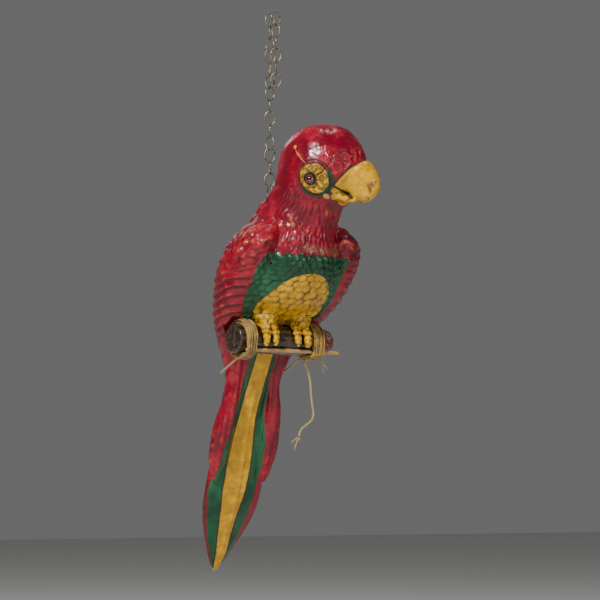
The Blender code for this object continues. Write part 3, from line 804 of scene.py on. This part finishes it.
def band_distance(at):
    """How far inside the green that frames the belly."""
    x, y, z = at.points.T
    half = np.interp(z, (-322, -312, -300, -288, -262, -254, -246), (31.0, 41.0, 49.0, 53.0, 53.5, 51.0, 43.0))
    half = np.where(x > 0.0, half - 7.0 * ramp(-250.0, -262.0, z), half)
    inside = np.minimum(-250.5 - z + 0.0011 * x * x - 1.2 * np.cos(x * 0.6), z + 320.0)
    inside = np.minimum(inside, half - np.abs(x))
    return only((at.normals[:, 1] < 0.6) & (y < 0.0), inside)


def zones(at):
    """How far inside each colour a point is, in millimetres, cut off at FAR."""
    x, y, z = at.points.T
    head = (at.from_head < 62.0) | ((at.ahead > 20.0) & (at.up > -43.0))
    beak = beak_distance(at)
    ex, eu = at.ahead - RING[0], at.up - RING[1]
    out, angle = np.hypot(ex, eu), np.arctan2(eu, ex)
    side = np.abs(at.side) > 15.0
    ring = RING[2] - 1.2 - out + 0.8 * np.sin(3.0 * angle) + 1.5 * at.cloud(4.0, seed=73)
    ring = only(head & side, ring)

    toes = only(at.near_log > 0.35, (at.log_reach - 14.0))
    toes = np.where((np.abs(x) < 9.5) | (np.abs(x) > 30.5) | (y > -4.0), -FAR, toes)
    legs = only(at.facing & (z < -304.0) & (z > -330.0) & (y < -6.0), 13.5 - np.abs(np.abs(x) - 20.0))
    stripe_half = np.interp(z, STRIPE[:, 0], STRIPE[:, 1])
    across = np.abs(x - np.interp(z, STRIPE[:, 0], STRIPE[:, 2]))
    front_tail = (at.tail > 0.5) & (at.normals[:, 1] < 0.1) & (z < -331.0)
    stripe = only(front_tail, stripe_half - across)
    yellow = np.maximum.reduce((beak, ring, belly_distance(at), toes, legs, stripe))

    band = band_distance(at)
    side_width = np.interp(z, STRIPE[:, 0], STRIPE[:, 3])
    green_tail = only(front_tail, stripe_half + side_width - across)
    ragged = 1.6 * at.cloud(3.5, seed=74)
    crescent = np.minimum(17.5 + ragged - out, out - 12.6 - 0.6 * ragged)
    crescent = np.minimum(crescent, 9.0 * np.minimum(0.45 - angle, angle + 2.5))
    crescent = only(head & side, crescent)
    green = np.maximum.reduce((band, green_tail, crescent))

    olive_line = only(front_tail & (z > -553.0), 0.7 - np.abs(across - stripe_half))
    brow = only(head & side, 0.45 - from_line(at.ahead, at.up, BROW))
    mouth = only(head, 0.9 - from_line(at.ahead, at.up, MOUTH))
    seam = only(head & (at.ahead > 19.5) & (at.up > -27.0), 0.5 - np.abs(beak))
    lid = only(head & side, 1.1 - np.abs(np.hypot(at.ahead - EYE_SPOT[0], at.up - EYE_SPOT[1]) - 5.0))
    # The space between the feet, under the belly, is painted near black: painted shade.
    between_feet = only(at.facing & (np.abs(x) < 8.0) & (z < -313.0) & (z > -326.0), z + 312.0)
    black = np.maximum.reduce((olive_line, brow, mouth, seam, lid))
    black = np.where(between_feet > -FAR, 1.0, black)

    worn_edge = 5.0 - np.abs(z + 245.0) + 3.5 * at.cloud(5.0, seed=71)
    worn_edge = np.minimum(worn_edge, 0.5 * np.minimum(x + 16.0, 36.0 - x)) - 1.4
    brown = only(at.facing & (at.front > 0.5) & (y < -20.0), worn_edge)
    old_beak = 2.4 - np.hypot(at.ahead - 55.0, at.up + 23.5)
    old_beak = only(head & (np.abs(at.side) < 14.0), old_beak + 2.0 * at.cloud(3.0, seed=72))

    right = at.side < 0.0
    scratch = only(head & right, 0.3 - from_line(at.ahead, at.up, SCRATCH))
    for ahead, up, size in ((-15.5, 13.5, 1.7), (11.5, -34.0, 2.4)):
        spot = size - np.hypot(at.ahead - ahead, at.up - up)
        scratch = np.maximum(scratch, only(head & right, spot))

    # Where the ridge tops take more of the orange wear and painted highlight: a band at the shoulders, and
    # behind the neck.
    behind = ramp(1.2, 1.9, np.abs(at.round)) * ramp(-262.0, -240.0, z)
    warm = np.maximum(0.8 * ramp(-196.0, -212.0, z) * ramp(-266.0, -246.0, z), 0.6 * behind)
    warm = warm * ramp(30.0, 50.0, at.from_head) * ramp(-0.3, 0.3, at.cloud(9.0, seed=75))
    share_out = np.abs(x) / at.tail_half
    shade = ramp(0.80, 0.92, share_out) * at.tail * (at.wing_edge > 32.0)
    far_wing = ramp(0.6, 1.6, at.round) * ramp(1.0, 1.08, at.outside) * (z > -340.0)
    shade = np.maximum(shade, 0.55 * far_wing)
    return {
        "yellow": yellow,
        "green": green,
        "black": black,
        "brown": np.maximum(brown, old_beak),
        "scratch": scratch,
        "shade": shade,
        "warm": warm,
    }


def keep_inside(points, node, soft=1.5):
    """Press points that come near the node's own box softly back into it."""
    low, high = box_of(node)
    for wall, sign in ((high, 1.0), (low, -1.0)):
        over = np.maximum(sign * (points - wall) + soft, 0.0)
        points = points - sign * (over - soft * (1.0 - np.exp(-over / soft)))
    return points


def make_casting():
    points, quads = tallest_island(outer_skin())
    edges = edges_of(quads)
    x, y, z = points.T
    reach = np.hypot(y - LOG_AXIS[0], z - LOG_AXIS[1])
    keep_crisp = ramp(22.0, 27.0, reach)
    head = np.linalg.norm(points - HEAD, axis=1)
    ahead = (points - HEAD) @ HEAD_AHEAD
    keep_crisp *= np.where(head < 75.0, ramp(46.0, 36.0, ahead) * 0.5 + 0.5, 1.0)
    points = relax(points, edges, 0.10 + 0.45 * keep_crisp, 14)
    softer = relax(points, edges, np.full(len(points), 0.5), 40)
    pit = np.einsum("ij,ij->i", softer - points, normals_of(points, quads))
    filled = ramp(0.9, 2.0, pit) * keep_crisp
    points = points + filled[:, None] * (softer - points)
    points = relax(points, edges, 0.5 * ramp(0.0, 0.5, filled), 6)
    at = Places(points, normals_of(points, quads))
    height, groove = sculpt(at)
    socket = eye_clearance(points)
    seat = np.where(np.abs(x) < 60.0, ramp(LOG_RADIUS + 0.4, LOG_RADIUS + 2.0, reach), 1.0)
    height *= socket * seat * plug_clearance(points)
    points = points + at.normals * height[:, None]
    points = relax(points, edges, np.full(len(points), 0.16), 1)
    points = keep_inside(points, "parrot_casting")

    casting = add_mesh("painted_parrot", points, quads.tolist(), plaster_paint())
    for name, values in zones(at).items():
        add_value(casting, name, np.clip(values, -FAR, FAR))
    # The groove value darkens the paint: painted shade in the grooves.
    add_value(casting, "groove", groove)
    add_value(casting, "ridge", ramp(0.0, 1.3, height))
    finish_piece(casting, "parrot_casting")


def eye_clearance(points):
    """0 at the glass eyes, whose sockets keep their shape, and 1 away from them."""
    clear = np.ones(len(points))
    for name in ("glass_eye_left", "glass_eye_right"):
        clear *= ramp(5.6, 8.0, np.linalg.norm(points - sum(box_of(name)) / 2, axis=1))
    return clear


def plug_clearance(points):
    face, _ = plug_frame()
    return ramp(12.0, 15.0, np.linalg.norm(points - face, axis=1))


# ---------------------------------------------------------------- eyes, plug, hanging eye
def make_eye(name, word):
    """A glass dome with its pupil and iris."""
    centre = sum(box_of(name)) / 2
    look = HEAD_SIDE if word == "left" else -HEAD_SIDE
    right = np.cross(UP, look)
    rings, around = 22, 36
    points = []
    for r in range(rings + 1):
        t = math.pi * r / rings
        flat, along = EYE_RADIUS * math.sin(t), EYE_DEPTH * math.cos(t)
        bulge = 0.5 * math.exp(-((flat / 2.6) ** 2)) if along > 0 else 0.0
        for n in range(around):
            a = math.tau * n / around
            points.append(centre + look * (along + bulge) + (right * math.cos(a) + UP * math.sin(a)) * flat)
    eye = add_mesh(f"eye_{word}", points, ring_faces(rings + 1, around), PAINTS["eye"])
    merge_close(eye)
    add_value(eye, "out", out_of(eye, centre, look))
    finish_piece(eye, name)


def out_of(obj, centre, look):
    """How far out from the middle of the eye each point is, from 0 to 1."""
    points = points_of(obj) - centre
    along = points @ look
    flat = np.linalg.norm(points - along[:, None] * look, axis=1) / EYE_RADIUS
    return np.where(along > 0, flat, 1.0)


def merge_close(obj):
    bm = bmesh.new()
    bm.from_mesh(obj.data)
    bmesh.ops.remove_doubles(bm, verts=bm.verts, dist=1e-6)
    bmesh.ops.recalc_face_normals(bm, faces=bm.faces)
    bm.to_mesh(obj.data)
    bm.free()


def lathe(centre, axis, profile, sides, wobble=0.0, seed=0):
    """A turned solid about an axis: profile rows are (along, radius), and it is closed at both ends."""
    axis = np.asarray(axis, float)
    one = np.array(Vector(axis).orthogonal().normalized())
    two = np.cross(axis, one)
    points = []
    for along, radius in profile:
        for n in range(sides):
            a = math.tau * n / sides
            points.append(centre + axis * along + (one * math.cos(a) + two * math.sin(a)) * radius)
    points = np.array(points)
    if wobble:
        push = points - centre
        push -= np.outer(push @ axis, axis)
        size = np.maximum(np.linalg.norm(push, axis=1), 1e-6)
        points = points + push / size[:, None] * (wobble * cloud(points, 4.0, seed) * (size > 1.0))[:, None]
    return points, ring_faces(len(profile), sides, capped=True)


def make_plug():
    """The whittled wooden plug in the casting hole, with a rounded edge and a counterbore round the shank."""
    face, outward = plug_frame()
    profile = [(-12.0, 9.6), (-11.0, 10.3), (-6.0, 10.4), (-1.2, 10.4), (-0.4, 10.1), (0.0, 9.4), (0.1, 5.0),
               (-0.1, 2.2), (-1.2, 1.7)]
    points, faces = lathe(face, outward, profile, 48, wobble=0.15, seed=5)
    plug = add_mesh("back_plug", points, faces, PAINTS["plug"])
    finish_piece(plug, "hole_plug")


def hanging_eye_line():
    """The centreline of the screw eye: its shank, then most of a ring, from the CAD node's place."""
    face, outward = plug_frame()
    ring_radius = 5.0
    centre = face + outward * (ring_radius + 2.6)
    inward = -outward
    sideways = np.cross(inward, (1.0, 0.0, 0.0))
    sideways /= np.linalg.norm(sideways)
    points = [centre + inward * (ring_radius + reach) for reach in (16.8, 12.0, 7.0, 3.6, 2.6)]
    for n in range(41):
        angle = math.radians(24 + (336 - 24) * n / 40)
        points.append(centre + (inward * math.cos(angle) + sideways * math.sin(angle)) * ring_radius)
    return np.array(points)


def make_hanging_eye():
    line = resample(hanging_eye_line(), 0.5)
    radius = np.full(len(line), 1.1)
    radius[:3] = (0.3, 0.6, 0.9)
    points, faces, _ = sweep(line, radius, 14)
    eye = add_mesh("screw_eye", points, faces, PAINTS["chain"])
    finish_piece(eye, "hanging_eye")


# ---------------------------------------------------------------- the perch
def make_log():
    """Bark ridges along the log, a chipped end on the parrot's left and a sawn end on its right."""
    (start, _, _), (end, _, _) = box_of("perch_log")
    around, spacing = 120, 0.8
    stations = np.arange(start, end + 0.01, spacing)
    sizes = np.interp(stations, (start, start + 1.5, 44.0, 52.0, end - 1.5, end),
                      (0.90, 1.0, 1.0, 0.95, 0.84, 0.74))
    points, inner = [], []
    for x, size in [(start, 0.0), (start, 0.45), *zip(stations, sizes), (end, 0.4), (end, 0.0)]:
        for n in range(around):
            a = math.tau * n / around
            radius = LOG_RADIUS * size
            points.append((x, LOG_AXIS[0] + radius * math.cos(a), LOG_AXIS[1] + radius * math.sin(a)))
            inner.append(size)
    points, inner = np.array(points), np.array(inner)
    stretched = points * (0.16, 1.0, 1.0)
    bark = 0.5 * cloud(stretched, 2.6, 81) + 0.35 * cloud(points, 3.0, 82)
    under_twine = np.zeros(len(points))
    for name in ("lashing_left", "lashing_right"):
        (low, _, _), (high, _, _) = box_of(name)
        under_twine += ramp(low - 1, low + 1, points[:, 0]) * ramp(high + 1, high - 1, points[:, 0])
    out = points - (0.0, *LOG_AXIS)
    out[:, 0] = 0.0
    size = np.maximum(np.linalg.norm(out, axis=1), 1e-6)
    depth = (bark - 0.55) * 0.8 * (1 - under_twine) * (inner > 0.5)
    ragged = ramp(46.0, 58.0, points[:, 0])
    depth += ragged * (1.3 * cloud(points, 4.0, 83) + 0.6 * cloud(points, 2.0, 86) - 1.2) * (inner > 0.3)
    points = points + out / size[:, None] * depth[:, None]
    ends = (inner < 0.95) & ((points[:, 0] < start + 0.5) | (points[:, 0] > end - 0.5))
    outward = np.sign(points[:, 0])
    points[:, 0] -= np.where(ends, 0.5 * cloud(points, 3.0, 84) + 0.4 * outward, 0.0)
    log = add_mesh("bark_log", points, ring_faces(len(points) // around, around), PAINTS["log"])
    merge_close(log)
    points = points_of(log)
    add_value(log, "ridge", ramp(-0.2, 0.6, cloud(points * (0.16, 1.0, 1.0), 2.6, 81)))
    add_value(log, "red_end", ramp(45.0, 49.0, points[:, 0]))
    patchy = ramp(-0.3, 0.3, cloud(points, 6.0, 85))
    add_value(log, "chips", ramp(48.0, 56.0, points[:, 0]) * patchy)
    finish_piece(log, "perch_log")


def stick_centre():
    return LOG_AXIS[0] - STICK_REACH * math.cos(STICK_ANGLE), LOG_AXIS[1] - STICK_REACH * math.sin(STICK_ANGLE)


def make_stick():
    """A peeled twig: a little crooked between the lashings, and broken at its ends."""
    (start, _, _), (end, _, _) = box_of("splint_stick")
    start += STICK_HIDDEN
    y, z = stick_centre()
    xs = np.arange(start, end + 0.01, 0.8)
    line = np.stack([xs, y + 0.25 * np.sin(xs * 0.07), z + 0.20 * np.sin(xs * 0.05 + 1.0)], axis=1)
    radius = STICK_RADIUS * (0.92 + 0.06 * np.sin(xs * 0.31) + 0.05 * cloud(line, 5.0, 91))
    radius *= 1.0 - 0.25 * ramp(2.0, 0.0, xs - start) - 0.3 * ramp(2.5, 0.0, end - xs)
    points, faces, _ = sweep(line, radius, 16)
    stick = add_mesh("twig", points, faces, PAINTS["stick"])
    finish_piece(stick, "splint_stick")


def wrapped_line(name, layers, seed):
    """The line of a lashing's twine: layer on layer round the log and the stick, to and fro."""
    low, high = box_of(name)
    left, right = low[0] + EDGE + (LASHING_INSET if name == "lashing_right" else 0.0), high[0] - EDGE
    x, angle, layer, start = [], [], [], 0.0
    for n in range(layers):
        turns = (right - left) / (LASHING_TWINE * (0.98, 1.15, 1.35, 1.7)[n])
        steps = np.arange(0.0, 1.0, 0.8 / (turns * math.tau * (LOG_RADIUS + 2.0)))
        x.append(left + (right - left) * (1.0 - steps if n % 2 else steps))
        angle.append(start + steps * turns * math.tau)
        layer.append(n + steps)
        start += turns * math.tau
    x, angle, layer = np.concatenate(x), np.concatenate(angle), np.concatenate(layer)
    lift = LASHING_TWINE * 0.80
    base = LOG_RADIUS + 0.25 + LASHING_TWINE / 2 + lift * np.floor(layer)
    base += lift * ramp(0.94, 1.0, np.mod(layer, 1.0)) * (layer < layers - 0.9)
    # Over the stick the twine stands away from the log.
    stick = -math.pi + STICK_ANGLE
    off = np.abs(np.mod(angle - stick + math.pi, math.tau) - math.pi)
    hump = (STICK_REACH + STICK_RADIUS - LOG_RADIUS) * (1.0 - 0.15 * np.floor(layer))
    base += hump * np.exp(-((off / 0.30) ** 2)) * 0.98
    sample = np.stack([x, angle * 3.0, layer * 0], axis=1)
    x = x + 1.1 * cloud(sample, 11.0, seed) * ramp(0.0, 0.4, layer)
    base = base + 0.30 * cloud(sample, 7.0, seed + 1)
    return np.stack([x, LOG_AXIS[0] + base * np.cos(angle), LOG_AXIS[1] + base * np.sin(angle)], axis=1)


def fibres(line, count, seed, reach=5.0):
    """Loose hairs that stand off a twine."""
    rng = np.random.default_rng(seed)
    ahead, across, over = frames_along(line)
    parts = []
    for _ in range(count):
        n = int(rng.integers(2, len(line) - 2))
        a = rng.uniform(0, math.tau)
        out = across[n] * math.cos(a) + over[n] * math.sin(a)
        way = ahead[n] * rng.choice((-1.0, 1.0))
        size = reach * rng.uniform(0.5, 1.0)
        bend = rng.normal(size=3) * 0.35
        hair = [line[n] + out * TWINE * 0.42 + (way * t + out * 0.45 * t * t + bend * t * t) * size
                for t in np.linspace(0, 1, 5)]
        parts.append(sweep(np.array(hair), np.linspace(0.07, 0.03, 5), 3))
    return join(parts)


def make_twine(name, line, paint, hairs, seed, thick=TWINE):
    """A laid three-ply twine, with its loose hairs if it is to have any."""
    body = sweep(line, thick / 2, 12, lobes=3, depth=0.34, twist=math.tau / (4.0 * thick))
    points, faces, height = join([body, fibres(line, hairs, seed)] if hairs else [body])
    made = add_mesh(name, points, faces, paint)
    add_value(made, "ply", height)
    return made


def frayed(start, way, count, size, seed, spread=0.55):
    """A brush of fibre bundles where a twine ends."""
    rng = np.random.default_rng(seed)
    way = np.asarray(way, float) / np.linalg.norm(way)
    parts = []
    for _ in range(count):
        aim = way + rng.normal(size=3) * spread * 0.5
        droop = np.array((0.0, 0.0, -0.5)) * rng.uniform(0.2, 1.0)
        long = size * rng.uniform(0.6, 1.0)
        line = [start + (aim * t + droop * t * t) * long for t in np.linspace(0, 1, 7)]
        parts.append(sweep(np.array(line), np.linspace(0.32, 0.06, 7), 5))
    return join(parts)


def make_lashings():
    for name, layers, seed in (("lashing_right", 4, 101), ("lashing_left", 3, 111)):
        line = wrapped_line(name, layers, seed)
        made = make_twine(f"wound_{name}", line, PAINTS["lashing"], 90, seed, LASHING_TWINE)
        finish_piece(made, name)
    tuft = frayed(np.array((46.0, -21.0, -346.0)), (0.7, -0.3, -0.75), 9, 10.0, 121)
    made = add_mesh("lashing_end", tuft[0], tuft[1], PAINTS["pale_twine"])
    add_value(made, "ply", tuft[2])
    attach(made, "parrot")


def make_tie():
    made = make_twine("tie_behind_tail", through(TAIL_TIE, 0.8), PAINTS["pale_twine"], 40, 131)
    finish_piece(made, "tail_tie")


def knot_line(centre, size):
    """An overhand knot's line about a point."""
    t = np.linspace(0.0, math.tau, 60, endpoint=False)
    x = np.sin(t) + 2.0 * np.sin(2.0 * t)
    y = np.cos(t) - 2.0 * np.cos(2.0 * t)
    return centre + np.stack([x, -np.sin(3.0 * t) * 1.1, y], axis=1) * size


def make_loose_twine():
    """The free end under the perch: one cord, then its knot, with two frayed ends."""
    line = through(LOOSE_TWINE, 0.7)
    cord = make_twine("hanging_twine", line, PAINTS["pale_twine"], 0, 141)
    finish_piece(cord, "loose_twine")
    centre = sum(box_of("twine_knot")) / 2
    ring = knot_line(centre, 0.66)
    parts = [sweep(ring, 0.85, 9, lobes=3, depth=0.3, twist=math.tau / 7.0, closed=True)]
    parts.append(fibres(line[70:], 9, 142))
    for n, way in enumerate(((-0.95, -0.1, -0.12), (-0.35, 0.1, -0.9))):
        parts.append(frayed(centre + np.array(way) * 1.5, way, 7, 8.5, 151 + n, spread=0.25))
    points, faces, height = join(parts)
    knot = add_mesh("frayed_knot", points, faces, PAINTS["pale_twine"])
    add_value(knot, "ply", height)
    finish_piece(knot, "twine_knot")


# ---------------------------------------------------------------- the chain
def link_line(node):
    """The centreline of a link, fitted to its CAD node: an oval in the upright plane that the node lies in."""
    points = points_of(NODES[node])
    centre = (points.min(axis=0) + points.max(axis=0)) / 2
    flat = points[:, :2] - centre[:2]
    _, _, ways = np.linalg.svd(flat - flat.mean(axis=0), full_matrices=False)
    width_way = ways[0]
    half_width = np.abs(flat @ width_way).max() - LINK_WIRE / 2
    half_height = (points[:, 2].max() - points[:, 2].min()) / 2 - LINK_WIRE / 2
    t = np.linspace(0.0, math.tau, 64, endpoint=False)
    across = np.sin(t) * half_width
    return np.stack([centre[0] + across * width_way[0], centre[1] + across * width_way[1],
                     centre[2] + np.cos(t) * half_height], axis=1)


def make_link(node, seed):
    """A bent wire link. Its two ends butt at the side, where the wire is nipped a little."""
    line = link_line(node)
    rng = np.random.default_rng(seed)
    t = np.linspace(0.0, math.tau, len(line), endpoint=False)
    joint = math.pi / 2 if rng.random() < 0.5 else 3 * math.pi / 2
    off = np.abs(t - joint)
    nip, swell = np.exp(-((off / 0.035) ** 2)), np.exp(-(((off - 0.18) / 0.08) ** 2))
    radius = LINK_WIRE / 2 * (1.0 - 0.32 * nip + 0.04 * swell)
    points, faces, _ = sweep(line, radius, 12, closed=True)
    link = add_mesh(f"wire_{node}", points, faces, PAINTS["chain"])
    finish_piece(link, node, body=node)


# ---------------------------------------------------------------- the studio
def make_camera():
    right = Vector((math.cos(CAMERA_TURN), math.sin(CAMERA_TURN), 0.0))
    ahead = Vector((-math.sin(CAMERA_TURN) * math.cos(CAMERA_RISE),
                    math.cos(CAMERA_TURN) * math.cos(CAMERA_RISE), -math.sin(CAMERA_RISE)))
    over = right.cross(ahead)
    data = bpy.data.cameras.new("camera")
    data.lens = LENS
    data.sensor_width = 36.0
    data.clip_end = 50.0
    camera = add_object("camera", data)
    place = Matrix((right, over, -ahead)).transposed().to_4x4()
    place.translation = right * AIM[0] + over * AIM[1] - ahead * CAMERA_DISTANCE
    camera.matrix_world = place
    bpy.context.scene.camera = camera
    return right, ahead


def add_light(name, place, aim, size, power):
    data = bpy.data.lights.new(name, "AREA")
    data.shape = "DISK"
    data.size = size
    data.energy = power
    light = add_object(name, data)
    light.location = place
    light.rotation_mode = "QUATERNION"
    light.rotation_quaternion = (Vector(aim) - Vector(place)).to_track_quat("-Z", "Y")


def make_studio(right, ahead):
    corners = [(x, y, FLOOR) for x, y in ((-6000, -6000), (6000, -6000), (6000, 6000), (-6000, 6000))]
    floor = add_mesh("floor", corners, [(0, 1, 2, 3)],
                     Paint("pale_floor", Base_Color=(0.74, 0.73, 0.71), Roughness=0.75).material)
    middle = Vector((0.0, 0.0, -0.30))
    back = Vector((-ahead.x, -ahead.y, 0.0)).normalized()
    add_light("key", middle + back * 1.5 - right * 0.75 + Vector((0, 0, 1.05)), middle, 0.32, 50.0)
    add_light("fill", middle + back * 1.3 + right * 1.2 + Vector((0, 0, 0.25)), middle, 0.7, 8.0)
    add_light("rim", middle - back * 1.2 - right * 0.6 + Vector((0, 0, 0.9)), middle, 0.5, 1.2)
    add_light("top", middle + Vector((0.1, 0.0, 1.5)), middle, 0.4, 4.0)
    world = bpy.data.worlds.new("world")
    bpy.context.scene.world = world
    world.use_nodes = True
    background = world.node_tree.nodes["Background"].inputs
    background["Color"].default_value = (0.80, 0.80, 0.80, 1.0)
    background["Strength"].default_value = 0.18


PAINTS = {
    "eye": eye_paint(),
    "chain": chain_paint(),
    "log": log_paint(),
    "plug": wood_paint("end_grain_plug", (0.420, 0.280, 0.130), (0.240, 0.140, 0.055), (1.0, 0.35, 1.0)),
    "stick": wood_paint("peeled_twig", (0.520, 0.350, 0.140), (0.330, 0.190, 0.060), (0.15, 1.0, 1.0)),
    "lashing": twine_paint("varnished_jute", (0.440, 0.280, 0.075), (0.130, 0.065, 0.014),
                           (0.520, 0.310, 0.030)),
    "pale_twine": twine_paint("bare_jute", (0.620, 0.470, 0.230), (0.330, 0.210, 0.080),
                              (0.500, 0.330, 0.110)),
}


def main():
    right, ahead = make_camera()
    make_loose_twine()
    make_tie()
    make_lashings()
    make_casting()
    for name, word in (("glass_eye_left", "left"), ("glass_eye_right", "right")):
        make_eye(name, word)
    make_plug()
    make_hanging_eye()
    make_log()
    make_stick()
    links = sorted(name for name in NODES if name.startswith(("top_link", "chain_link", "spare_link")))
    for seed, node in enumerate(links):
        make_link(node, seed)
    NODES["tail_armature"].data.materials.clear()
    NODES["tail_armature"].data.materials.append(rod_paint())
    make_studio(right, ahead)


main()
